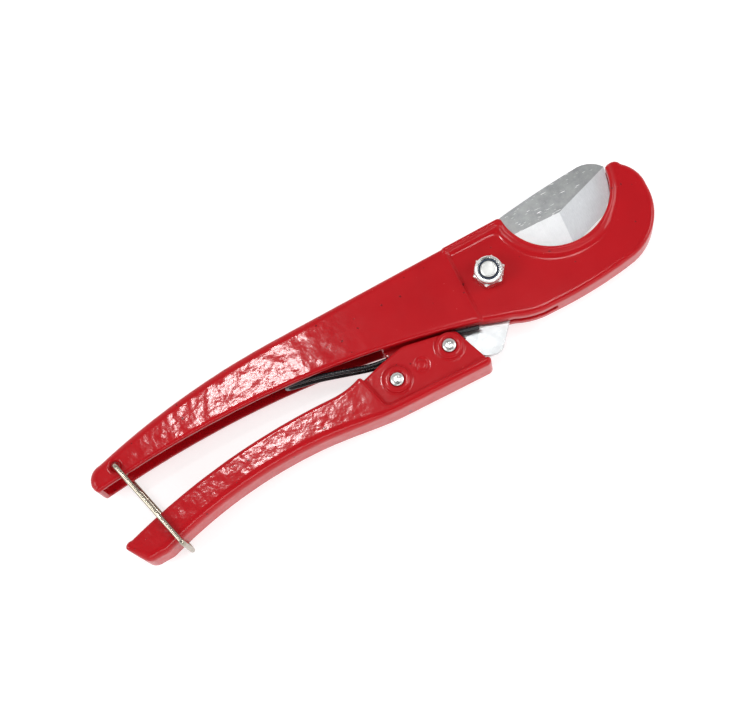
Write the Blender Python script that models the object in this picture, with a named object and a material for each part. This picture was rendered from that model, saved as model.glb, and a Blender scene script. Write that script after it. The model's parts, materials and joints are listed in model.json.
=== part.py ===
"""Ratchet cutter for plastic pipe: two die-cast handles, a hook jaw and a swinging blade.

The tool lies flat on its side. +X runs along the tool towards the hook jaw, +Y points from the
lower handle to the back of the blade, and +Z is the thickness. Lengths below are millimetres,
measured from the axis of the blade's pivot bolt, which stands along Z.
"""
from math import atan2, cos, degrees, hypot, pi, radians, sin, sqrt

import bmesh
import bpy
from mathutils import Vector

MM = 0.001

# Where the pivot bolt's axis stands in the part's frame (the frame's origin is the middle of the
# part's base), in millimetres.
BOLT_AT = (46.07, 8.73, 10.25)

# Thicknesses, all counted from the tool's middle plane.
GRIP_HALF = 8.0
NECK_HALF = 7.1
CHEEK_HALF = 6.0
RIM_HALF = 7.6
PANEL_HALF = 6.6
BLADE_HALF = 1.3
SLOT_HALF = 1.65
LUG_HALF = 1.5
BODY_CHANNEL_HALF = 5.4
HANDLE_CHANNEL_HALF = 5.3

# Hinge axes.
FRONT_RIVET = (-23.5, -16.85)
REAR_RIVET = (-44.65, -19.55)
BAIL_HOLE = (-144.45, -3.5)

# Fasteners.
BOLT_R = 3.0
BOLT_HOLE_R = 3.3
RIVET_R = 1.8
RIVET_HOLE_R = 2.1
RIVET_HEAD_R = 2.35
NUT_FLATS = 10.0

# Jaw, blade and ratchet.
JAW_CENTRE = (32.35, 17.3)
JAW_R = 20.4
EDGE_START = (8.4, -2.6)
EDGE_MIDDLE = (31.6, -2.6)
EDGE_END = (47.6, 3.29)
FLAT_START = (8.4, 10.1)
FLAT_MIDDLE = (32.0, 10.1)
FLAT_END = (53.3, 17.94)
NOSE = [(50.3, 6.6), (52.0, 12.2)]
EDGE_HALF = 0.06
TOOTH_TIP_R = 22.6
TOOTH_ROOT_R = 20.8
TOOTH_FIRST_DEG = 175.0
TOOTH_PITCH_DEG = 8.0
TOOTH_COUNT = 5

# Wires.
BAIL_WIRE_R = 0.9
BAIL_REACH = 36.6
BAIL_HALF = 9.35
SPRING_WIRE_R = 0.85
SPRING_COIL_R = 4.36
SPRING_OUTER_Z = 4.25
SPRING_INNER_Z = 2.5
PAWL_SPRING_WIRE_R = 0.4
PAWL_SPRING_COIL_R = 4.0


# ---------------------------------------------------------------- scene and materials

def clear_scene():
    for obj in list(bpy.data.objects):
        bpy.data.objects.remove(obj, do_unlink=True)


def material(name, color, roughness, metallic, coat=0.0):
    mat = bpy.data.materials.new(name)
    mat.use_nodes = True
    mat.diffuse_color = (*color, 1.0)
    shader = mat.node_tree.nodes["Principled BSDF"]
    shader.inputs["Base Color"].default_value = (*color, 1.0)
    shader.inputs["Roughness"].default_value = roughness
    shader.inputs["Metallic"].default_value = metallic
    shader.inputs["Coat Weight"].default_value = coat
    return mat


# ---------------------------------------------------------------- outlines

def polar(centre, radius, angle_deg):
    a = radians(angle_deg)
    return (centre[0] + radius * cos(a), centre[1] + radius * sin(a))


def arc(centre, radius, start_deg, end_deg, steps):
    span = end_deg - start_deg
    return [polar(centre, radius, start_deg + span * i / steps) for i in range(steps + 1)]


def bow(p, q, sag, steps):
    """Arc from p to q that stands sag to the right of the straight line."""
    if abs(sag) < 1e-6:
        return [p, q]
    dx = q[0] - p[0]
    dy = q[1] - p[1]
    chord = hypot(dx, dy)
    right = (dy / chord, -dx / chord)
    radius = (chord * chord / 4 + sag * sag) / (2 * abs(sag))
    side = 1 if sag > 0 else -1
    reach = radius - abs(sag)
    cx = (p[0] + q[0]) / 2 - right[0] * reach * side
    cy = (p[1] + q[1]) / 2 - right[1] * reach * side
    a0 = degrees(atan2(p[1] - cy, p[0] - cx))
    a1 = degrees(atan2(q[1] - cy, q[0] - cx))
    while a1 - a0 > 180:
        a1 -= 360
    while a1 - a0 < -180:
        a1 += 360
    return arc((cx, cy), radius, a0, a1, steps)


def joined(*runs):
    points = []
    for run in runs:
        for p in run:
            if not points or hypot(p[0] - points[-1][0], p[1] - points[-1][1]) > 0.02:
                points.append(p)
    if hypot(points[0][0] - points[-1][0], points[0][1] - points[-1][1]) < 0.02:
        points.pop()
    return points


def signed_area(points):
    total = 0.0
    for i, p in enumerate(points):
        q = points[(i + 1) % len(points)]
        total += p[0] * q[1] - q[0] * p[1]
    return total / 2


def inward(points):
    """Inset directions of a counter-clockwise outline, scaled for a unit inset."""
    result = []
    count = len(points)
    for i, p in enumerate(points):
        before = Vector(p) - Vector(points[i - 1])
        after = Vector(points[(i + 1) % count]) - Vector(p)
        n1 = Vector((-before.y, before.x)).normalized()
        n2 = Vector((-after.y, after.x)).normalized()
        mean = (n1 + n2).normalized()
        result.append(mean / max(0.6, mean.dot(n1)))
    return result


# ---------------------------------------------------------------- solids

def ring_faces(bm, lower, upper):
    count = len(lower)
    for i in range(count):
        j = (i + 1) % count
        bm.faces.new((lower[i], lower[j], upper[j], upper[i]))


def closed_stack(rings):
    """Closed solid through a stack of rings with equal numbers of points, base ring first."""
    bm = bmesh.new()
    levels = [[bm.verts.new(p) for p in ring] for ring in rings]
    for lower, upper in zip(levels, levels[1:]):
        ring_faces(bm, lower, upper)
    base = bm.faces.new(list(reversed(levels[0])))
    top = bm.faces.new(levels[-1])
    base.normal_update()
    top.normal_update()
    bmesh.ops.triangulate(bm, faces=[base, top], ngon_method="BEAUTY")
    bmesh.ops.recalc_face_normals(bm, faces=bm.faces)
    return bm


def prism(points, low, high):
    if signed_area(points) < 0:
        points = list(reversed(points))
    return closed_stack([[(x, y, low) for x, y in points], [(x, y, high) for x, y in points]])


def eased_radii(points, inset, radii):
    """Shrink the rounding wherever the outline turns too tightly for it."""
    count = len(points)
    for _ in range(60):
        crossed = False
        for i in range(count):
            j = (i + 1) % count
            edge = Vector(points[j]) - Vector(points[i])
            moved = edge + inset[j] * radii[j] - inset[i] * radii[i]
            if moved.dot(edge) < 0.1 * edge.length_squared:
                radii[i] *= 0.85
                radii[j] *= 0.85
                crossed = True
        if not crossed:
            break
    return radii


def casting(points, half, fillet, segments=4):
    """Plate centred on the middle plane with rounded edges; half and fillet vary with x and y."""
    if signed_area(points) < 0:
        points = list(reversed(points))
    inset = inward(points)
    radii = eased_radii(points, inset, [fillet(x, y) for x, y in points])
    rings = []
    for side in (-1, 1):
        angles = [90.0 * k / segments for k in range(segments + 1)]
        if side > 0:
            angles.reverse()
        for angle in angles:
            a = radians(angle)
            ring = []
            for p, n, r in zip(points, inset, radii):
                d = r * (1 - sin(a))
                z = half(p[0], p[1]) - r + r * cos(a)
                ring.append((p[0] + n.x * d, p[1] + n.y * d, side * z))
            rings.append(ring)
    return closed_stack(rings)


def turned(profile, centre, sides=40):
    """Solid of revolution about a Z axis; profile is a list of (radius, z) from low to high."""
    rings = []
    for radius, z in profile:
        rings.append([(*polar(centre, radius, 360.0 * i / sides), z) for i in range(sides)])
    return closed_stack(rings)


def sleeve(centre, inner, outer, low, high, sides=40):
    bm = bmesh.new()
    loop = []
    for radius, z in ((outer, low), (outer, high), (inner, high), (inner, low)):
        points = [(*polar(centre, radius, 360.0 * i / sides), z) for i in range(sides)]
        loop.append([bm.verts.new(p) for p in points])
    for k in range(4):
        ring_faces(bm, loop[k], loop[(k + 1) % 4])
    bmesh.ops.recalc_face_normals(bm, faces=bm.faces)
    return bm


def smooth_path(points, radius, steps):
    """Round the corners of a polyline in space."""
    result = [Vector(points[0])]
    for before, corner, after in zip(points, points[1:], points[2:]):
        c = Vector(corner)
        to_before = Vector(before) - c
        to_after = Vector(after) - c
        cut = min(radius, to_before.length * 0.45, to_after.length * 0.45)
        a = c + to_before.normalized() * cut
        b = c + to_after.normalized() * cut
        for i in range(steps + 1):
            t = i / steps
            result.append((1 - t) ** 2 * a + 2 * t * (1 - t) * c + t * t * b)
    result.append(Vector(points[-1]))
    return result


def wire(path, radius, sides=10):
    """Round wire along a path, with slightly broken ends."""
    path = [Vector(p) for p in path]
    start = (path[1] - path[0]).normalized()
    end = (path[-1] - path[-2]).normalized()
    cut = radius * 0.25
    stations = [(path[0], radius - cut), (path[0] + start * cut, radius)]
    stations += [(p, radius) for p in path[1:-1]]
    stations += [(path[-1] - end * cut, radius), (path[-1], radius - cut)]
    side = start.orthogonal().normalized()
    rings = []
    for i, (p, r) in enumerate(stations):
        before = stations[max(i - 1, 0)][0]
        after = stations[min(i + 1, len(stations) - 1)][0]
        along = (after - before).normalized()
        side = (side - along * side.dot(along)).normalized()
        up = along.cross(side)
        ring = []
        for k in range(sides):
            a = 2 * pi * k / sides
            ring.append(tuple(p + side * (r * cos(a)) + up * (r * sin(a))))
        rings.append(ring)
    return closed_stack(rings)


def as_object(name, bm, axis=(0.0, 0.0), mat=None):
    """Turn a bmesh in millimetres into an object whose origin is on its own axis."""
    for v in bm.verts:
        v.co = Vector((v.co.x - axis[0], v.co.y - axis[1], v.co.z)) * MM
    mesh = bpy.data.meshes.new(name)
    bm.to_mesh(mesh)
    bm.free()
    obj = bpy.data.objects.new(name, mesh)
    bpy.context.scene.collection.objects.link(obj)
    obj.location = Vector((BOLT_AT[0] + axis[0], BOLT_AT[1] + axis[1], BOLT_AT[2])) * MM
    if mat:
        mesh.materials.append(mat)
    return obj


def combine(obj, operation, *tools):
    """Union with or difference by each bmesh in turn, then keep the result as plain mesh."""
    helpers = []
    for number, bm in enumerate(tools):
        helper = as_object("%s_tool_%d" % (obj.name, number), bm)
        helper.hide_render = True
        helper.display_type = "WIRE"
        mod = obj.modifiers.new("shape_%d" % number, "BOOLEAN")
        mod.operation = operation
        mod.solver = "EXACT"
        mod.object = helper
        helpers.append(helper)
    graph = bpy.context.evaluated_depsgraph_get()
    graph.update()
    result = bpy.data.meshes.new_from_object(obj.evaluated_get(graph))
    obj.modifiers.clear()
    old = obj.data
    obj.data = result
    bpy.data.meshes.remove(old)
    result.name = obj.name
    for helper in helpers:
        bpy.data.objects.remove(helper, do_unlink=True)


def finish(obj, sharp_deg=32.0):
    """Clean the mesh and shade rounded faces smooth, flat faces and edges crisp."""
    bm = bmesh.new()
    bm.from_mesh(obj.data)
    bmesh.ops.remove_doubles(bm, verts=bm.verts, dist=2e-6)
    bmesh.ops.dissolve_degenerate(bm, dist=2e-6, edges=bm.edges)
    bmesh.ops.triangulate(bm, faces=[f for f in bm.faces if len(f.verts) > 4])
    bm.to_mesh(obj.data)
    bm.free()
    for face in obj.data.polygons:
        face.use_smooth = True
    obj.data.set_sharp_from_angle(angle=radians(sharp_deg))


# ---------------------------------------------------------------- body with upper handle and jaw

def body_half(x, y):
    """Half thickness of the upper handle: full at the grip, thinner towards the head."""
    if x <= -70.0:
        return GRIP_HALF
    return GRIP_HALF + (NECK_HALF - GRIP_HALF) * min(1.0, (x + 70.0) / 60.0)


def body_fillet(x, y):
    """Edge rounding: generous along the hand's side of the grip, small at the open underside."""
    if y < lower_edge(x) + 2.0 and x > -150.0:
        return 1.1
    if x < -80.0:
        return 2.5
    return max(1.2, 2.5 - 1.3 * (x + 80.0) / 70.0)


def lower_edge(x):
    """Height of the body's open underside along the tool."""
    radius = 391.0 if x < -92.0 else 353.0
    return -4.35 - radius + sqrt(radius * radius - (x + 92.0) ** 2)


def top_edge(x):
    """Height of the body's back: straight towards the head, one long arc over the grip."""
    line = 16.25 + 0.0438 * (x - 11.0)
    if x > -78.0:
        return line
    return line - (270.0 - sqrt(270.0 ** 2 - (x + 78.0) ** 2))


def run_along(edge, start, end, steps):
    return [(start + (end - start) * i / steps,
             edge(start + (end - start) * i / steps)) for i in range(steps + 1)]


def handle_outline():
    bottom = run_along(lower_edge, -153.4, -9.6, 26)
    top = run_along(top_edge, -9.6, -149.5, 24)
    nose = bow((-149.5, top_edge(-149.5)), (-155.0, -6.0), 1.5, 7)
    heel = bow((-155.0, -6.0), (-153.4, lower_edge(-153.4)), 0.35, 3)
    return joined(bottom, top, nose, heel)


def head_outline():
    left = [(-20.0, 13.0), (-20.0, -9.0), (-12.0, -12.4), (-9.9, -14.2)]
    chin = bow((-9.9, -14.2), (1.0, -17.4), 0.2, 3)
    belly = bow((1.0, -17.4), (15.0, -19.8), 0.9, 6)
    sole = bow((15.0, -19.8), (48.0, -16.3), 0.9, 8)
    hook = bow((48.0, -16.3), (62.8, 4.2), 4.4, 14)
    crown = bow((62.8, 4.2), (58.3, 15.1), 1.5, 7)
    tip = bow((58.3, 15.1), (54.4, 16.9), 0.8, 4)
    lip = bow((54.4, 16.9), (52.75, 15.6), 0.45, 3)
    rim = arc(JAW_CENTRE, JAW_R + 0.05, -4.8, -169.0, 46)
    peak = bow((12.15, 14.6), (10.6, 16.2), 0.45, 5)
    back = run_along(top_edge, 10.4, -9.0, 5)
    return joined(left, chin, belly, sole, hook, crown, tip, lip, rim, peak, back, [(-12.0, 14.2)])


def head_fillet(x, y):
    from_jaw = hypot(x - JAW_CENTRE[0], y - JAW_CENTRE[1])
    if from_jaw < JAW_R + 0.8 or (y > 15.5 and x > 50.0):
        return 0.6
    return 1.4


def rim_lines():
    """Outer and inner border of the raised rim: along the back, round the peak, round the jaw."""
    outer = run_along(lambda x: top_edge(x) + 0.06, -10.6, 9.4, 6)
    outer += bow((10.65, 16.3), (12.2, 14.75), -0.5, 5)
    inner = run_along(lambda x: 11.2 + 0.02 * (x + 10.6), -10.6, 5.2, 6)
    inner += bow((6.6, 11.3), polar(JAW_CENTRE, 25.4, -158.0), -0.75, 5)
    steps = 45
    for i in range(1, steps + 1):
        t = i / steps
        narrow = min(1.0, max(0.0, (t - 0.62) / 0.1))
        outer.append(polar(JAW_CENTRE, JAW_R, -170.6 + 167.1 * t))
        inner.append(polar(JAW_CENTRE, 25.4 - 1.7 * narrow, -158.0 + 152.0 * t))
    return outer + [(53.4, 16.3)], inner + [(56.2, 15.9)]


def rim_bead(side):
    """Raised rim on one cheek: a rounded crest at the edge that falls away in a cove."""
    outer, inner = rim_lines()
    section = [(0.0, -2.4), (0.0, 0.55), (0.04, 0.85), (0.12, 1.0), (0.26, 1.0), (0.34, 0.86),
               (0.42, 0.55), (0.55, 0.25), (0.75, 0.06), (1.0, -0.1), (1.0, -2.4)]
    height = RIM_HALF - CHEEK_HALF
    rings = []
    for o, i in zip(outer, inner):
        ring = []
        for across, up in section:
            x = o[0] + (i[0] - o[0]) * across
            y = o[1] + (i[1] - o[1]) * across
            rise = height if up > 0 else 1.0
            if up > 0 and o[0] > 43.0:
                fade = min(1.0, (o[0] - 43.0) / 4.0)
                rise = height * (1 - 0.45 * fade)
            ring.append((x, y, side * (CHEEK_HALF + up * rise)))
        rings.append(ring)
    return closed_stack(rings)


def channel_outline():
    roof = run_along(lambda x: top_edge(x) - 3.0, -45.0, -149.0, 18)
    rear = bow((-149.0, top_edge(-149.0) - 3.0), (-152.0, -8.0), 1.2, 4)
    return joined([(-45.0, -30.0)], roof, rear, [(-152.0, -30.0)])


def slot_outline():
    """Space between the cheeks that the blade and its tail sweep."""
    stop = [(18.4, -27.0), (14.3, -10.1)]
    floor = arc(JAW_CENTRE, 27.3, -90.0, -24.0, 14)
    end = arc((0.0, 0.0), 57.6, 6.3, 16.2, 4)
    over = [(54.6, 32.0), (-13.0, 32.0), (-13.0, 13.0)]
    behind = arc((0.0, 0.0), 23.3, 165.0, 233.5, 14)
    tail = [polar((0.0, 0.0), 32.0, 233.5)]
    return joined(stop, floor, end, over, behind, tail)


def lug_outline():
    """Tongue under the body that carries the lower handle's hinge rivet."""
    neck = [(-24.0, -6.0), (-42.0, -6.0), (-44.6, -7.6), (-44.9, -11.6), (-38.0, -14.4)]
    eye = arc(FRONT_RIVET, 4.1, 222.0, 385.0, 18)
    return joined(neck, eye, [(-22.4, -10.2)])


def hexagon(flats, turn_deg=0.0):
    return [polar((0.0, 0.0), flats / 2 / cos(pi / 6), 60.0 * i + turn_deg) for i in range(6)]


def spring_seat():
    """Cross rib under the channel's roof that the spring's yoke presses against."""
    return prism([(-80.6, -2.2), (-77.6, -2.2), (-77.2, 12.0), (-81.0, 11.8)], -5.8, 5.8)


def build_body():
    enamel = material("body_enamel", (0.42, 0.008, 0.012), 0.28, 0.0, 0.6)
    body = as_object("body_casting", casting(handle_outline(), body_half, body_fillet), mat=enamel)
    head = casting(head_outline(), lambda x, y: CHEEK_HALF, head_fillet)
    combine(body, "UNION", head, rim_bead(1), rim_bead(-1))
    channel = prism(channel_outline(), -BODY_CHANNEL_HALF, BODY_CHANNEL_HALF)
    slot = prism(slot_outline(), -SLOT_HALF, SLOT_HALF)
    combine(body, "DIFFERENCE", channel, slot)
    combine(body, "UNION", prism(lug_outline(), -LUG_HALF, LUG_HALF), spring_seat())
    bolt_hole = turned([(BOLT_HOLE_R, -12.0), (BOLT_HOLE_R, 12.0)], (0.0, 0.0), 48)
    lug_hole = turned([(RIVET_HOLE_R, -3.0), (RIVET_HOLE_R, 3.0)], FRONT_RIVET, 32)
    bail_hole = turned([(2.9, -9.0), (2.6, -8.0), (1.65, -7.2), (1.65, 7.2), (2.6, 8.0), (2.9, 9.0)],
                       BAIL_HOLE, 32)
    pocket = prism(hexagon(NUT_FLATS + 0.7, 12.0), -12.0, -4.5)
    combine(body, "DIFFERENCE", bolt_hole, lug_hole, bail_hole, pocket)
    finish(body)
    return body


# ---------------------------------------------------------------- lower handle

def grip_top(x):
    """Height of the lower handle's open upper edge over the grip."""
    return -15.5 - (247.0 - sqrt(247.0 ** 2 - (x + 68.0) ** 2))


def grip_bottom(x):
    """Height of the lower handle's closed outer edge."""
    if x <= -80.0:
        return -27.7 - (172.0 - sqrt(172.0 ** 2 - (x + 80.0) ** 2))
    t = min(1.0, (x + 80.0) / 32.0)
    return -27.7 - 1.8 * t * t * (3 - 2 * t) + 0.012 * max(0.0, x + 48.0)


def grip_outline():
    bottom = run_along(grip_bottom, -140.0, -15.0, 30)
    nose = bow((-15.0, grip_bottom(-15.0)), (-12.8, -27.5), 0.55, 4)
    ledge = [(-12.9, -26.9), (-13.7, -26.3), (-49.8, -26.4)]
    inside = bow((-49.8, -26.4), (-52.3, -25.0), -0.5, 3)
    shoulder = [(-53.9, -19.5), (-55.3, -14.3)]
    bump = bow((-55.6, -13.75), (-57.2, -13.55), 0.25, 3)
    rise = bow((-57.2, -13.55), (-66.0, -15.45), -0.35, 5)
    top = run_along(grip_top, -68.0, -149.8, 20)
    corner = bow((-149.8, grip_top(-149.8)), (-152.7, -31.3), 0.75, 4)
    end = [(-148.9, -36.9)]
    heel = bow((-148.9, -36.9), (-144.4, -38.75), 0.85, 5)
    return joined(bottom, nose, ledge, inside, shoulder, bump, rise, top, corner, end, heel)


def grip_fillet(x, y):
    """Edge rounding: large along the outer edge and rear end, small along the open edge."""
    if y < grip_bottom(max(x, -140.0)) + 1.0 and x > -147.0:
        return 1.6 + 1.2 * min(1.0, max(0.0, (-53.0 - x) / 13.0))
    if x < -144.0 and y < -32.0:
        return 2.6
    if x > -57.0:
        return 0.6
    return 1.1


def panel_outline():
    top = [(-19.6, -12.95), (-21.0, -12.45), (-36.6, -9.85), (-38.6, -9.75), (-41.0, -10.3),
           (-47.0, -11.8), (-55.2, -14.5), (-60.0, -18.0)]
    low = [(-60.0, -26.9), (-14.2, -27.6), (-13.9, -26.3), (-18.95, -13.6)]
    return joined(low, top)


def handle_channel_outline():
    floor = run_along(lambda x: grip_bottom(x) + 2.4, -139.0, -14.0, 26)
    front = [(-4.0, -26.7), (-4.0, 10.0)]
    rear = [(-160.0, 10.0), (-149.4, -31.0), (-146.6, -35.4), (-143.0, -36.2)]
    return joined(floor, front, rear)


def rivet_boss(centre):
    profile = [(4.9, -7.0), (4.9, 6.3), (4.75, 6.9), (4.55, 7.4), (4.2, 7.6)]
    full = [(r, z) for r, z in profile if z > 0]
    mirrored = [(r, -z) for r, z in reversed(full)]
    return turned(mirrored + full, centre, 40)


def seat_cut(centre):
    profile = [(2.75, 9.0), (2.75, 7.0), (RIVET_HOLE_R, 7.0), (RIVET_HOLE_R, -7.0),
               (2.75, -7.0), (2.75, -9.0)]
    return turned(list(reversed(profile)), centre, 36)


def build_lower_handle():
    enamel = material("handle_enamel", (0.42, 0.008, 0.012), 0.3, 0.0, 0.6)
    grip = casting(grip_outline(), lambda x, y: GRIP_HALF, grip_fillet)
    handle = as_object("lower_handle", grip, FRONT_RIVET, enamel)
    panel = casting(panel_outline(), lambda x, y: PANEL_HALF, lambda x, y: 0.7, 3)
    combine(handle, "UNION", panel, rivet_boss(FRONT_RIVET), rivet_boss(REAR_RIVET))
    channel = prism(handle_channel_outline(), -HANDLE_CHANNEL_HALF, HANDLE_CHANNEL_HALF)
    mark = sleeve((-34.9, -18.6), 1.6, 2.5, PANEL_HALF - 0.35, 7.5, 32)
    combine(handle, "DIFFERENCE", channel)
    combine(handle, "DIFFERENCE", seat_cut(FRONT_RIVET), seat_cut(REAR_RIVET), mark)
    finish(handle)
    return handle


# ---------------------------------------------------------------- blade

def ratchet_teeth():
    points = []
    for k in range(TOOTH_COUNT):
        start = TOOTH_FIRST_DEG + k * TOOTH_PITCH_DEG
        points.append(polar((0.0, 0.0), TOOTH_ROOT_R, start))
        points.append(polar((0.0, 0.0), TOOTH_TIP_R, start + 0.82 * TOOTH_PITCH_DEG))
        points.append(polar((0.0, 0.0), TOOTH_TIP_R, start + 0.94 * TOOTH_PITCH_DEG))
    return points


def blade_outline():
    """Blade border from the tip over the back, hub and toothed tail to the first cutting edge."""
    crown = bow(FLAT_END, (44.8, 22.0), 1.2, 5)
    back = bow((44.8, 22.0), (12.9, 17.75), 0.35, 7)
    hub = [(5.5, 15.9), (-1.0, 14.6), (-8.0, 12.6), (-13.6, 8.6), (-20.0, 4.6)]
    gap = [polar((0.0, 0.0), TOOTH_ROOT_R, 171.5)]
    after = arc((0.0, 0.0), TOOTH_TIP_R, 216.0, 222.0, 2)
    heel = arc(FRONT_RIVET, 6.3, -2.0, -40.0, 5) + [polar((0.0, 0.0), 27.7, 230.5)]
    lobe = arc((0.0, 0.0), 27.7, 233.0, 241.0, 2)
    lobe += [(-11.6, -25.05), (-9.4, -25.3), (-7.6, -24.9), (-6.3, -23.9)]
    tail = [(-0.9, -17.2), (3.2, -12.0), (6.4, -8.4)]
    return joined(NOSE, crown, back, hub, gap, ratchet_teeth(), after, heel, lobe, tail, [EDGE_START])


def front_bevel_height(p):
    """Half thickness of the blade at a point on the front bevel, which is one plane."""
    slope = (EDGE_END[1] - EDGE_MIDDLE[1]) / (EDGE_END[0] - EDGE_MIDDLE[0])

    def above_edge(q):
        return q[1] - EDGE_MIDDLE[1] - slope * (q[0] - EDGE_MIDDLE[0])

    return EDGE_HALF + (BLADE_HALF - EDGE_HALF) * above_edge(p) / above_edge(FLAT_END)


def blade_solid():
    """Flat steel plate with a two-part ground edge that meets in a shallow V."""
    border = blade_outline()
    bm = bmesh.new()
    sides = []
    for side in (1, -1):
        verts = {}
        for p in border:
            verts[p] = bm.verts.new((p[0], p[1], side * BLADE_HALF))
        verts[EDGE_START].co.z = side * EDGE_HALF
        for p in NOSE:
            verts[p].co.z = side * front_bevel_height(p)
        for p in (EDGE_MIDDLE, EDGE_END):
            verts[p] = bm.verts.new((*p, side * EDGE_HALF))
        for p in (FLAT_START, FLAT_MIDDLE):
            verts[p] = bm.verts.new((*p, side * BLADE_HALF))
        flat = [p for p in border if p not in NOSE and p != EDGE_START]
        faces = [flat + [FLAT_START, FLAT_MIDDLE],
                 [FLAT_START, EDGE_START, EDGE_MIDDLE, FLAT_MIDDLE],
                 [FLAT_MIDDLE, EDGE_MIDDLE, EDGE_END, *NOSE, FLAT_END],
                 [border[-2], EDGE_START, FLAT_START]]
        for face in faces:
            loop = [verts[p] for p in face]
            if side < 0:
                loop.reverse()
            new = bm.faces.new(loop)
            new.normal_update()
            if len(loop) > 4:
                bmesh.ops.triangulate(bm, faces=[new], ngon_method="BEAUTY")
        sides.append(verts)
    loop = border + [EDGE_MIDDLE, EDGE_END]
    for i, p in enumerate(loop):
        q = loop[(i + 1) % len(loop)]
        bm.faces.new((sides[0][q], sides[0][p], sides[1][p], sides[1][q]))
    bmesh.ops.recalc_face_normals(bm, faces=bm.faces)
    return bm


def build_blade():
    steel = material("blade_steel", (0.52, 0.53, 0.54), 0.38, 1.0)
    blade = as_object("blade", blade_solid(), mat=steel)
    combine(blade, "DIFFERENCE", turned([(BOLT_HOLE_R, -4.0), (BOLT_HOLE_R, 4.0)], (0.0, 0.0), 48))
    finish(blade, 4.0)
    return blade


# ---------------------------------------------------------------- pivot bolt and lock nut

def hex_with_round_top(flats, low, high, bevel, sides=48):
    """Hexagon whose upper corners are turned off by a cone."""
    corner = flats / 2 / cos(pi / 6)
    rings = []
    levels = [(low, flats / 2 + 0.05), (low + bevel * 0.6, corner),
              (high - bevel * 0.6, corner), (high, flats / 2 + 0.05)]
    for z, limit in levels:
        ring = []
        for i in range(sides):
            a = 2 * pi * i / sides
            local = (a % (pi / 3)) - pi / 6
            r = min(flats / 2 / cos(local), limit)
            ring.append((r * cos(a), r * sin(a), z))
        rings.append(ring)
    return rings


def build_bolt():
    zinc = material("bolt_zinc", (0.62, 0.62, 0.6), 0.25, 1.0)
    head = hex_with_round_top(NUT_FLATS, -7.8, -4.8, 0.8)
    turn = radians(12.0)
    head = [[(x * cos(turn) - y * sin(turn), x * sin(turn) + y * cos(turn), z) for x, y, z in ring]
            for ring in head]
    bolt = as_object("pivot_bolt", closed_stack(head), mat=zinc)
    shank = turned([(BOLT_R, -6.0), (BOLT_R, 11.9), (BOLT_R - 0.15, 12.25), (BOLT_R - 0.6, 12.5)],
                   (0.0, 0.0), 48)
    combine(bolt, "UNION", shank)
    finish(bolt)
    return bolt


def build_nut():
    zinc = material("nut_zinc", (0.66, 0.66, 0.64), 0.22, 1.0)
    rings = hex_with_round_top(NUT_FLATS, 6.3, 10.3, 0.9, 72)
    turn = radians(-5.0)
    rings = [[(x * cos(turn) - y * sin(turn), x * sin(turn) + y * cos(turn), z)
              for x, y, z in ring] for ring in rings]
    nut = as_object("lock_nut", closed_stack(rings), mat=zinc)
    collar = turned([(4.6, 9.0), (4.92, 10.0), (4.95, 11.3), (4.8, 11.9), (4.45, 12.25),
                     (4.1, 12.3)], (0.0, 0.0), 72)
    combine(nut, "UNION", collar)
    bore = turned([(BOLT_HOLE_R, 4.0), (BOLT_HOLE_R, 10.4), (3.85, 10.4), (3.85, 12.1),
                   (4.0, 14.0)], (0.0, 0.0), 48)
    combine(nut, "DIFFERENCE", bore)
    finish(nut)
    return nut


def build_insert():
    nylon = material("insert_nylon", (0.03, 0.045, 0.09), 0.45, 0.0)
    ring = as_object("nut_insert", sleeve((0.0, 0.0), 3.2, 3.6, 10.7, 12.05, 48), mat=nylon)
    finish(ring)
    return ring


# ---------------------------------------------------------------- rivets and sleeves

def build_rivet(name, centre):
    zinc = material(name + "_zinc", (0.66, 0.65, 0.62), 0.3, 1.0)
    dome = [(RIVET_HEAD_R, 7.3), (RIVET_HEAD_R, 7.6), (2.1, 7.85), (1.5, 8.05), (0.75, 8.15)]
    mirrored = [(r, -z) for r, z in reversed(dome)]
    rivet = as_object(name, turned(mirrored[:-1] + [(RIVET_HEAD_R, -7.3), (RIVET_R, -7.3),
                                                    (RIVET_R, 7.3)] + dome, centre, 36),
                      centre, zinc)
    dimple = turned([(0.12, 7.95), (0.42, 8.08), (0.7, 8.4)], (centre[0] + 0.5, centre[1] + 0.5), 16)
    combine(rivet, "DIFFERENCE", dimple)
    finish(rivet)
    return rivet


def build_sleeve(name, centre, side, low):
    steel = material(name + "_steel", (0.45, 0.45, 0.46), 0.4, 1.0)
    span = (low, 5.0) if side > 0 else (-5.0, -low)
    obj = as_object(name, sleeve(centre, RIVET_HOLE_R, 3.1, span[0], span[1], 36), centre, steel)
    finish(obj)
    return obj


# ---------------------------------------------------------------- pawl and springs

def pawl_outline():
    hub = arc(REAR_RIVET, 4.0, 62.0, 285.0, 16)
    under = [(-36.0, -22.7), (-27.0, -23.0), (-22.4, -23.0)]
    hook = arc(FRONT_RIVET, 5.85, -62.0, 20.0, 9)
    tip = [polar(FRONT_RIVET, 5.3, 26.0), polar(FRONT_RIVET, 4.6, 18.0)]
    inside = arc(FRONT_RIVET, 4.55, 4.0, -100.0, 10)
    arm = [(-30.0, -20.6), (-38.5, -18.0)]
    return joined(hub, under, hook, tip, inside, arm)


def build_pawl():
    steel = material("pawl_steel", (0.09, 0.09, 0.1), 0.45, 0.7)
    pawl = as_object("ratchet_pawl", prism(pawl_outline(), -BLADE_HALF, BLADE_HALF), REAR_RIVET,
                     steel)
    combine(pawl, "DIFFERENCE", turned([(RIVET_HOLE_R, -3.0), (RIVET_HOLE_R, 3.0)], REAR_RIVET, 32))
    finish(pawl)
    return pawl


def coil(centre, radius, start_deg, end_deg, z_start, z_end, steps):
    points = []
    for i in range(steps + 1):
        t = i / steps
        x, y = polar(centre, radius, start_deg + (end_deg - start_deg) * t)
        points.append(Vector((x, y, z_start + (z_end - z_start) * t)))
    return points


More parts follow.
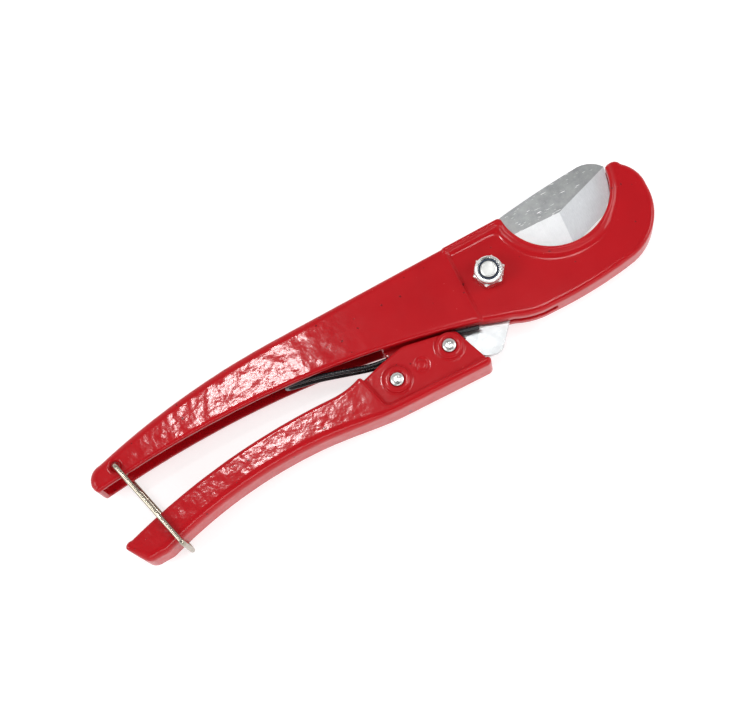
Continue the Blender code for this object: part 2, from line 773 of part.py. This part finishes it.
def build_handle_spring():
    """Two torsion coils on the hinge rivet, with long legs joined by a yoke in the channel."""
    black = material("handle_spring_black", (0.02, 0.022, 0.025), 0.3, 0.6)
    near = [Vector((-11.3, -14.95, SPRING_OUTER_Z))]
    near += coil(FRONT_RIVET, SPRING_COIL_R, 78.5, 445.2, SPRING_OUTER_Z, SPRING_INNER_Z, 34)
    rear = smooth_path([near[-1], (-50.0, -10.4, SPRING_INNER_Z), (-69.5, -5.1, SPRING_INNER_Z),
                        (-78.6, -3.5, SPRING_INNER_Z)], 3.0, 4)
    near += rear[1:-1]
    near += [Vector((-78.6 - 1.6 * sin(radians(a)), -3.4, SPRING_INNER_Z * cos(radians(a))))
             for a in (15, 40, 65, 90)]
    far = [Vector((p.x, p.y, -p.z)) for p in reversed(near[:-1])]
    spring = as_object("handle_spring", wire(near + far, SPRING_WIRE_R), FRONT_RIVET, black)
    finish(spring, 60.0)
    return spring


def build_pawl_spring():
    """Light torsion spring on the pawl rivet that lifts the pawl's arm from below."""
    black = material("pawl_spring_steel", (0.16, 0.16, 0.17), 0.35, 0.9)
    path = [Vector((-35.0, -25.6, 4.6))]
    path += coil(REAR_RIVET, PAWL_SPRING_COIL_R, -107.6, 55.3 - 1080.0, 4.6, 2.3, 62)
    path += smooth_path([path[-1], (-31.6, -23.8, 2.3), (-30.2, -24.85, 1.2),
                         (-28.3, -24.9, 0.0)], 1.2, 3)[1:]
    spring = as_object("pawl_spring", wire(path, PAWL_SPRING_WIRE_R, 8), REAR_RIVET, black)
    finish(spring, 60.0)
    return spring


def build_bail():
    nickel = material("bail_nickel", (0.6, 0.57, 0.5), 0.2, 1.0)
    angle = atan2(-34.1, 10.15)
    hx, hy = BAIL_HOLE
    far = (hx + BAIL_REACH * cos(angle), hy + BAIL_REACH * sin(angle))
    path = smooth_path([(hx, hy, 5.9), (hx, hy, BAIL_HALF), (far[0], far[1], BAIL_HALF),
                        (far[0], far[1], -BAIL_HALF), (hx, hy, -BAIL_HALF), (hx, hy, -5.9)], 1.7, 6)
    bail = as_object("wire_bail", wire(path, BAIL_WIRE_R, 14), BAIL_HOLE, nickel)
    finish(bail, 60.0)
    return bail


def main():
    clear_scene()
    build_body()
    build_lower_handle()
    build_blade()
    build_bolt()
    build_nut()
    build_insert()
    build_rivet("hinge_rivet", FRONT_RIVET)
    build_rivet("pawl_rivet", REAR_RIVET)
    build_sleeve("spring_sleeve_near", FRONT_RIVET, 1, 1.85)
    build_sleeve("spring_sleeve_far", FRONT_RIVET, -1, 1.85)
    build_sleeve("pawl_spacer_near", REAR_RIVET, 1, 1.65)
    build_sleeve("pawl_spacer_far", REAR_RIVET, -1, 1.65)
    build_pawl()
    build_handle_spring()
    build_pawl_spring()
    build_bail()


main()
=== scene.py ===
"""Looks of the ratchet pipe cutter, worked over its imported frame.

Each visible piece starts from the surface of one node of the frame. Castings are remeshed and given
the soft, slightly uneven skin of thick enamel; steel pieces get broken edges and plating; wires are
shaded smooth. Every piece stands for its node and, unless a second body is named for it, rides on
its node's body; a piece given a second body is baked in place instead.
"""
import json
from math import radians

import bmesh
import bpy
from mathutils import Matrix, Vector, noise

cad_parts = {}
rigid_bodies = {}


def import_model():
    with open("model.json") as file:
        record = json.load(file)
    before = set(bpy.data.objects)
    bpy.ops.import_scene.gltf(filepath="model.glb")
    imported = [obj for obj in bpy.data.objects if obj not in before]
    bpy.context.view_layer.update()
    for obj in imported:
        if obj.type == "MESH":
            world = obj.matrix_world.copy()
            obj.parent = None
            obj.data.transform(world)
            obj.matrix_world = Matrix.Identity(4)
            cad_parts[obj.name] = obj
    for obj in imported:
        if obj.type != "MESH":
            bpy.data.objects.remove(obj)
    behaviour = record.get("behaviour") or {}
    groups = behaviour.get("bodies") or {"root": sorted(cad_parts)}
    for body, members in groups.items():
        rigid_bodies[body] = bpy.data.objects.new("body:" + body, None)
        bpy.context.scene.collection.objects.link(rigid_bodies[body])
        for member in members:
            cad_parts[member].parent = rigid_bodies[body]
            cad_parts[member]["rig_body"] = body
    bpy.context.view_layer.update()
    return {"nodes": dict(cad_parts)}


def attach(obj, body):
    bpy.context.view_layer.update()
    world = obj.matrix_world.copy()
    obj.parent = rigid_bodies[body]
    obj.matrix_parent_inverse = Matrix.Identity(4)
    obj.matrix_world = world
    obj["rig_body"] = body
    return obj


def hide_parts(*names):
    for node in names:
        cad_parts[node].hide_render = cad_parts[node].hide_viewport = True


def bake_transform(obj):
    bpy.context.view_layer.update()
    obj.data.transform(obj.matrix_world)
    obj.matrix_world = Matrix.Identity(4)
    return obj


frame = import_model()

MM = 0.001

# Camera: where it stands and how it is turned, in the row frame, and its lens for a 36 mm sensor.
CAMERA_AT = (-0.01393, -0.16407, 0.66545)
CAMERA_RIGHT = (0.8984, -0.4286, -0.0957)
CAMERA_DOWN = (-0.4390, -0.8698, -0.2252)
CAMERA_LENS = 95.5

# Colours, linear.
RED = (0.50, 0.004, 0.009)
RED_DEEP = (0.38, 0.002, 0.006)
STEEL = (0.56, 0.57, 0.58)
ZINC = (0.86, 0.86, 0.84)
NICKEL = (0.40, 0.36, 0.29)
HARDENED = (0.10, 0.10, 0.11)
LACQUER = (0.006, 0.007, 0.009)
NAVY = (0.012, 0.022, 0.05)

# Where along the tool the grips' uneven skin has faded out, over what length, and the share of it
# that the head keeps.
GRIP_END = 0.010
GRIP_FADE = 0.040
HEAD_SHARE = 0.05

# The castings' own lumps, and the cells of the meshes that carry them.
LUMP_HEIGHT = 0.035 * MM
LUMPS_PER_METRE = 210.0
BODY_CELL = 0.38 * MM
HANDLE_CELL = 0.32 * MM

# Facets closer than this are one point; edges of turned pieces and of wires stay sharp from these angles.
WELD_REACH = 2e-6
TURNED_SHARP_DEG = 14.0
WIRE_SHARP_DEG = 50.0
BLADE_SHARP_DEG = 4.0

# Where along the tool the blade's bright tail turns into its worn flats.
TAIL_END = 0.049
FLAT_START = 0.056

# Upward lean of the blade's bevels, and the sideways lean that tells the front one from the rear one.
BEVEL_LEAN = (0.90, 0.9995)
FRONT_BEVEL_LEAN = 0.01

# White surroundings, and the brightness of the ceiling against them.
WORLD_STRENGTH = 0.9
CEILING = 0.14

FLOOR_REACH = 3.0
FLOOR_DROP = 0.2 * MM


# ---------------------------------------------------------------- shader helpers

class Finish:
    """A Principled material with short calls for its node network."""

    def __init__(self, name, **values):
        self.mat = bpy.data.materials.new(name)
        self.mat.use_nodes = True
        self.tree = self.mat.node_tree
        self.shader = self.tree.nodes["Principled BSDF"]
        for socket, value in values.items():
            self.shader.inputs[socket.replace("_", " ")].default_value = value
        self.coords = self.node("ShaderNodeTexCoord").outputs["Object"]

    def node(self, kind, **settings):
        made = self.tree.nodes.new(kind)
        for key, value in settings.items():
            setattr(made, key, value)
        return made

    def link(self, source, target):
        self.tree.links.new(source, target)

    def stretched(self, scale, turn_deg=0.0):
        mapping = self.node("ShaderNodeMapping")
        mapping.inputs["Scale"].default_value = scale
        mapping.inputs["Rotation"].default_value = (0.0, 0.0, radians(turn_deg))
        self.link(self.coords, mapping.inputs["Vector"])
        return mapping.outputs["Vector"]

    def noise(self, scale, detail=2.0, rough=0.5, vector=None):
        made = self.node("ShaderNodeTexNoise")
        made.inputs["Scale"].default_value = scale
        made.inputs["Detail"].default_value = detail
        made.inputs["Roughness"].default_value = rough
        self.link(vector or self.coords, made.inputs["Vector"])
        return made.outputs["Fac"]

    def ranged(self, value, low, high, to_low, to_high):
        made = self.node("ShaderNodeMapRange", clamp=True)
        for socket, number in zip(("From Min", "From Max", "To Min", "To Max"),
                                  (low, high, to_low, to_high)):
            made.inputs[socket].default_value = number
        self.link(value, made.inputs["Value"])
        return made.outputs["Result"]

    def maths(self, operation, a, b):
        made = self.node("ShaderNodeMath", operation=operation)
        for socket, value in zip(made.inputs, (a, b)):
            if isinstance(value, (int, float)):
                socket.default_value = value
            else:
                self.link(value, socket)
        return made.outputs[0]

    def mixed(self, factor, first, second):
        made = self.node("ShaderNodeMix", data_type="RGBA")
        self.link(factor, made.inputs["Factor"])
        for socket, value in ((made.inputs[6], first), (made.inputs[7], second)):
            if isinstance(value, tuple):
                socket.default_value = (*value, 1.0)
            else:
                self.link(value, socket)
        return made.outputs[2]

    def along_x(self, start, end):
        """0 before start, 1 after end, along the tool, in metres."""
        split = self.node("ShaderNodeSeparateXYZ")
        self.link(self.coords, split.inputs[0])
        return self.ranged(split.outputs["X"], start, end, 0.0, 1.0)

    def bump(self, height, distance, below=None):
        made = self.node("ShaderNodeBump")
        made.inputs["Distance"].default_value = distance
        self.link(height, made.inputs["Height"])
        if below:
            self.link(below, made.inputs["Normal"])
        return made.outputs["Normal"]

    def set(self, socket, source):
        self.link(source, self.shader.inputs[socket])


# ---------------------------------------------------------------- materials

def enamel(name):
    """Thick dipped enamel: lumpy on the grips, smooth on the head, with dust and pinholes; the pinholes are
    painted dark as painted shade inside them.
    """
    f = Finish(name, Coat_Weight=0.45, Coat_Roughness=0.11, Metallic=0.0, Specular_IOR_Level=0.1)
    grip = f.ranged(f.along_x(GRIP_END - GRIP_FADE, GRIP_END), 0.0, 1.0, 1.0, HEAD_SHARE)
    tone = f.mixed(f.noise(55.0, 4.0, 0.6), RED_DEEP, RED)
    speck = f.ranged(f.noise(1100.0, 1.0), 0.78, 0.82, 0.0, 0.5)
    tone = f.mixed(speck, tone, (0.62, 0.10, 0.09))
    # Pinholes: small pits in the bump, painted in a darker red as painted shade inside them.
    pit_and_shade = f.ranged(f.noise(560.0, 0.0), 0.815, 0.83, 0.0, 0.7)
    f.set("Base Color", f.mixed(pit_and_shade, tone, (0.10, 0.002, 0.004)))
    f.set("Roughness", f.ranged(f.noise(190.0, 3.0), 0.3, 0.7, 0.4, 0.55))
    lumps = f.maths("ADD", f.noise(230.0, 2.0, 0.5), f.maths("MULTIPLY", f.noise(800.0, 1.0), 0.14))
    soft = f.bump(f.maths("MULTIPLY", lumps, grip), 0.00011)
    pits = f.bump(f.maths("MULTIPLY", pit_and_shade, -1.0), 0.00008, soft)
    f.set("Normal", pits)
    f.set("Coat Normal", pits)
    return f.mat


def scratches(f, scale, turn_deg, low, high):
    """Fine scratch lines in one direction."""
    return f.ranged(f.noise(1.0, 1.0, 0.5, f.stretched(scale, turn_deg)), low, high, 0.0, 1.0)


def blade_flat():
    """Rolled steel: clouded on the flats, brighter on the tail, with handling nicks."""
    f = Finish("blade_flat", Metallic=1.0)
    nicks = scratches(f, (260.0, 2600.0, 1.0), 35.0, 0.70, 0.74)
    nicks = f.maths("MAXIMUM", nicks, scratches(f, (300.0, 2400.0, 1.0), -40.0, 0.72, 0.75))
    nicks = f.maths("MAXIMUM", nicks, scratches(f, (220.0, 2800.0, 1.0), 85.0, 0.72, 0.75))
    mottle = f.mixed(f.noise(170.0, 6.0, 0.75), (0.18, 0.19, 0.19), (0.52, 0.53, 0.53))
    worn = f.mixed(f.along_x(TAIL_END, FLAT_START), (0.60, 0.62, 0.63), mottle)
    f.set("Base Color", f.mixed(nicks, worn, (0.95, 0.95, 0.95)))
    f.set("Roughness", f.ranged(f.noise(300.0, 4.0), 0.3, 0.7, 0.30, 0.42))
    grain = f.noise(1.0, 3.0, 0.6, f.stretched((500.0, 4200.0, 1.0), 8.0))
    f.set("Normal", f.bump(f.maths("ADD", grain, nicks), 0.00003))
    return f.mat


def blade_ground(name, turn_deg, tone):
    """Ground bevel: fine parallel grinding lines towards the edge, on a tone given per bevel: lighter as
    painted highlight on the rear one, darker as painted shade on the front one.
    """
    f = Finish(name, Metallic=1.0)
    lines = f.noise(1.0, 3.0, 0.7, f.stretched((5200.0, 380.0, 1.0), turn_deg))
    shade = f.mixed(f.noise(240.0, 8.0, 0.8), tuple(c * 0.7 for c in tone), tone)
    f.set("Base Color", f.mixed(f.ranged(lines, 0.3, 0.7, 0.0, 0.35), shade, (0.92, 0.93, 0.95)))
    f.set("Roughness", f.ranged(lines, 0.3, 0.7, 0.36, 0.52))
    f.set("Normal", f.bump(lines, 0.00003))
    return f.mat


def plated(name, color, roughness, mottling=0.25):
    """Zinc or nickel plate with slight clouding and a faintly uneven surface."""
    f = Finish(name, Metallic=1.0)
    dull = tuple(c * (1.0 - mottling) for c in color)
    f.set("Base Color", f.mixed(f.noise(450.0, 3.0, 0.6), dull, color))
    f.set("Roughness", f.ranged(f.noise(500.0, 2.0), 0.3, 0.7, roughness, roughness + 0.16))
    f.set("Normal", f.bump(f.noise(420.0, 1.0), 0.00001))
    return f.mat


def moulded(name, color, roughness):
    """Dark nylon or black lacquer with a faint grain."""
    f = Finish(name, Metallic=0.0, Coat_Weight=0.25, Coat_Roughness=0.15)
    light = tuple(min(1.0, c * 1.8 + 0.01) for c in color)
    f.set("Base Color", f.mixed(f.noise(600.0, 4.0, 0.6), color, light))
    f.set("Roughness", f.ranged(f.noise(1100.0, 3.0), 0.3, 0.7, roughness, roughness + 0.2))
    f.set("Normal", f.bump(f.noise(1800.0, 2.0), 0.00003))
    return f.mat


# ---------------------------------------------------------------- pieces

def body_holding(node):
    return frame["nodes"][node]["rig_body"]


def welded_copy(node, name):
    """A new piece with the node's surface, its facets welded into one closed skin."""
    mesh = frame["nodes"][node].data.copy()
    mesh.name = name
    mesh.materials.clear()
    if "custom_normal" in mesh.attributes:
        mesh.attributes.remove(mesh.attributes["custom_normal"])
    bm = bmesh.new()
    bm.from_mesh(mesh)
    bmesh.ops.remove_doubles(bm, verts=bm.verts, dist=WELD_REACH)
    bm.to_mesh(mesh)
    bm.free()
    piece = bpy.data.objects.new(name, mesh)
    bpy.context.scene.collection.objects.link(piece)
    return piece


def settle(piece):
    """Turn the piece's modifiers into plain mesh."""
    graph = bpy.context.evaluated_depsgraph_get()
    graph.update()
    mesh = bpy.data.meshes.new_from_object(piece.evaluated_get(graph))
    piece.modifiers.clear()
    piece.data = mesh
    mesh.name = piece.name


def modifier(piece, kind, **settings):
    made = piece.modifiers.new(kind.lower(), kind)
    for key, value in settings.items():
        setattr(made, key, value)


def place(piece, node, material, bends_to=None):
    """Give the piece its finish and let it stand for its node; with a second body named, bake it in place
    unattached, else let it ride on its node's body.
    """
    if not piece.data.materials:
        piece.data.materials.append(material)
    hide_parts(node)
    if bends_to:
        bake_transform(piece)
    else:
        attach(piece, body_holding(node))


def casting(node, name, voxel):
    """Enamelled casting: its edges eased by the paint, the grips slightly uneven."""
    piece = welded_copy(node, name)
    modifier(piece, "REMESH", mode="VOXEL", voxel_size=voxel)
    modifier(piece, "SMOOTH", factor=0.5, iterations=2)
    settle(piece)
    mesh = piece.data
    moved = []
    for v in mesh.vertices:
        uneven = min(1.0, max(HEAD_SHARE, (GRIP_END - v.co.x) / GRIP_FADE))
        lump = noise.noise(v.co * LUMPS_PER_METRE) + 0.5 * noise.noise(v.co * 2.0 * LUMPS_PER_METRE)
        moved.append(v.co + v.normal * (LUMP_HEIGHT * uneven * lump))
    for v, co in zip(mesh.vertices, moved):
        v.co = co
    mesh.shade_smooth()
    place(piece, node, enamel(name + "_enamel"))


def machined(node, name, material, edge=0.12, sharp_deg=32.0):
    """Steel piece with its sharp edges slightly broken, or left as they are where edge is 0."""
    piece = welded_copy(node, name)
    if edge:
        modifier(piece, "BEVEL", width=edge * MM, segments=2, limit_method="ANGLE",
                 angle_limit=radians(sharp_deg), harden_normals=False)
        settle(piece)
    piece.data.shade_smooth()
    piece.data.set_sharp_from_angle(angle=radians(sharp_deg))
    modifier(piece, "WEIGHTED_NORMAL", keep_sharp=True)
    settle(piece)
    place(piece, node, material)


def round_wire(node, name, material, bends_to=None):
    """Wire with smooth shading. With bends_to, it is baked in place and not attached to any body."""
    piece = welded_copy(node, name)
    piece.data.shade_smooth()
    piece.data.set_sharp_from_angle(angle=radians(WIRE_SHARP_DEG))
    modifier(piece, "WEIGHTED_NORMAL", keep_sharp=True)
    settle(piece)
    place(piece, node, material, bends_to)


def blade_piece():
    """Blade with its rolled flats and the two ground bevels of its cutting edge."""
    piece = welded_copy("blade", "blade_plate")
    mesh = piece.data
    # The two ground bevels are the same steel: the rear one gets a lighter tone as painted highlight, the
    # front one a darker tone as painted shade.
    finishes = (blade_flat(), blade_ground("blade_ground_rear_painted_highlight", 4.0, (0.86, 0.87, 0.88)),
                blade_ground("blade_ground_front_painted_shade", -14.0, (0.63, 0.65, 0.67)))
    for finish in finishes:
        mesh.materials.append(finish)
    for face in mesh.polygons:
        lean = abs(face.normal.z)
        if BEVEL_LEAN[0] < lean < BEVEL_LEAN[1]:
            face.material_index = 2 if abs(face.normal.x) > FRONT_BEVEL_LEAN else 1
    mesh.shade_smooth()
    mesh.set_sharp_from_angle(angle=radians(BLADE_SHARP_DEG))
    place(piece, "blade", finishes[0])


def build_pieces():
    casting("body_casting", "body_skin", BODY_CELL)
    casting("lower_handle", "lower_handle_skin", HANDLE_CELL)
    blade_piece()
    for node, name, slot, finish in (
            ("pivot_bolt", "bolt_plated", "bolt_zinc", plated("bolt_plate", ZINC, 0.3, 0.45)),
            ("lock_nut", "nut_plated", "nut_zinc", plated("nut_plate", ZINC, 0.2)),
            ("nut_insert", "insert_ring", "insert_nylon", moulded("insert_blue", NAVY, 0.35))):
        machined(node, name, finish, edge=0.0, sharp_deg=TURNED_SHARP_DEG)
    for name in ("hinge_rivet", "pawl_rivet"):
        machined(name, name + "_plated", plated(name + "_plate", ZINC, 0.22, 0.4), 0.1)
    for name in ("spring_sleeve_near", "spring_sleeve_far", "pawl_spacer_near", "pawl_spacer_far"):
        machined(name, name + "_turned", plated(name + "_raw", STEEL, 0.4), 0.1)
    machined("ratchet_pawl", "pawl_hardened", plated("pawl_black", HARDENED, 0.4))
    round_wire("handle_spring", "handle_spring_wire",
               moulded("spring_lacquer", LACQUER, 0.2))
    round_wire("pawl_spring", "pawl_spring_wire",
               plated("music_wire", STEEL, 0.3), "pawl")
    round_wire("wire_bail", "bail_wire", plated("bail_plate", NICKEL, 0.16, 0.08))


# ---------------------------------------------------------------- camera, light and floor

def build_camera():
    data = bpy.data.cameras.new("camera")
    data.lens = CAMERA_LENS
    data.sensor_width = 36.0
    data.sensor_fit = "HORIZONTAL"
    data.clip_start = 0.01
    camera = bpy.data.objects.new("camera", data)
    right = Vector(CAMERA_RIGHT).normalized()
    back = right.cross(-Vector(CAMERA_DOWN)).normalized()
    up = back.cross(right)
    turn = Matrix((right, up, back)).transposed()
    camera.matrix_world = Matrix.Translation(CAMERA_AT) @ turn.to_4x4()
    bpy.context.scene.collection.objects.link(camera)
    bpy.context.scene.camera = camera


def soft_box(name, at, aim, size, power):
    data = bpy.data.lights.new(name, "AREA")
    data.shape = "RECTANGLE"
    data.size = size[0]
    data.size_y = size[1]
    data.energy = power
    lamp = bpy.data.objects.new(name, data)
    lamp.location = at
    lamp.rotation_euler = (Vector(aim) - Vector(at)).to_track_quat("-Z", "Y").to_euler()
    bpy.context.scene.collection.objects.link(lamp)


def build_world():
    """White surroundings that darken overhead, so that flat tops mirror a calm, dim ceiling."""
    world = bpy.data.worlds.new("studio")
    bpy.context.scene.world = world
    world.use_nodes = True
    tree = world.node_tree
    coords = tree.nodes.new("ShaderNodeTexCoord")
    split = tree.nodes.new("ShaderNodeSeparateXYZ")
    ramp = tree.nodes.new("ShaderNodeValToRGB")
    ramp.color_ramp.elements[0].position = 0.35
    ramp.color_ramp.elements[0].color = (1.0, 1.0, 1.0, 1.0)
    ramp.color_ramp.elements[1].position = 0.93
    ramp.color_ramp.elements[1].color = (CEILING, CEILING, CEILING, 1.0)
    tree.links.new(coords.outputs["Generated"], split.inputs[0])
    tree.links.new(split.outputs["Z"], ramp.inputs[0])
    tree.links.new(ramp.outputs["Color"], tree.nodes["Background"].inputs["Color"])
    tree.nodes["Background"].inputs["Strength"].default_value = WORLD_STRENGTH


def build_light():
    build_world()
    middle = (0.0, 0.0, 0.0)
    soft_box("left", (-1.1, 0.1, 0.9), middle, (0.7, 0.7), 7.0)
    soft_box("right", (1.1, -0.3, 0.9), middle, (0.7, 0.7), 7.0)
    soft_box("overhead", (0.17, 0.085, 1.0), (0.07, 0.01, 0.0), (0.20, 0.10), 0.78)
    soft_box("front", (0.0, -1.0, 0.75), middle, (1.2, 0.12), 2.4)
    soft_box("flash", (-0.085, 0.26, 1.0), (-0.03, 0.0, 0.0), (0.11, 0.05), 1.2)


def build_floor():
    bm = bmesh.new()
    for x, y in ((-1, -1), (1, -1), (1, 1), (-1, 1)):
        bm.verts.new((x * FLOOR_REACH, y * FLOOR_REACH, -FLOOR_DROP))
    bm.faces.new(bm.verts)
    mesh = bpy.data.meshes.new("floor")
    bm.to_mesh(mesh)
    bm.free()
    floor = bpy.data.objects.new("floor", mesh)
    bpy.context.scene.collection.objects.link(floor)
    f = Finish("floor_white", Roughness=0.8, Emission_Strength=0.66)
    f.shader.inputs["Emission Color"].default_value = (1.0, 1.0, 1.0, 1.0)
    f.set("Base Color", f.mixed(f.noise(3.0, 2.0), (0.52, 0.52, 0.52), (0.54, 0.54, 0.54)))
    mesh.materials.append(f.mat)


bpy.context.scene.view_settings.view_transform = "Standard"
build_camera()
build_pieces()
build_light()
build_floor()
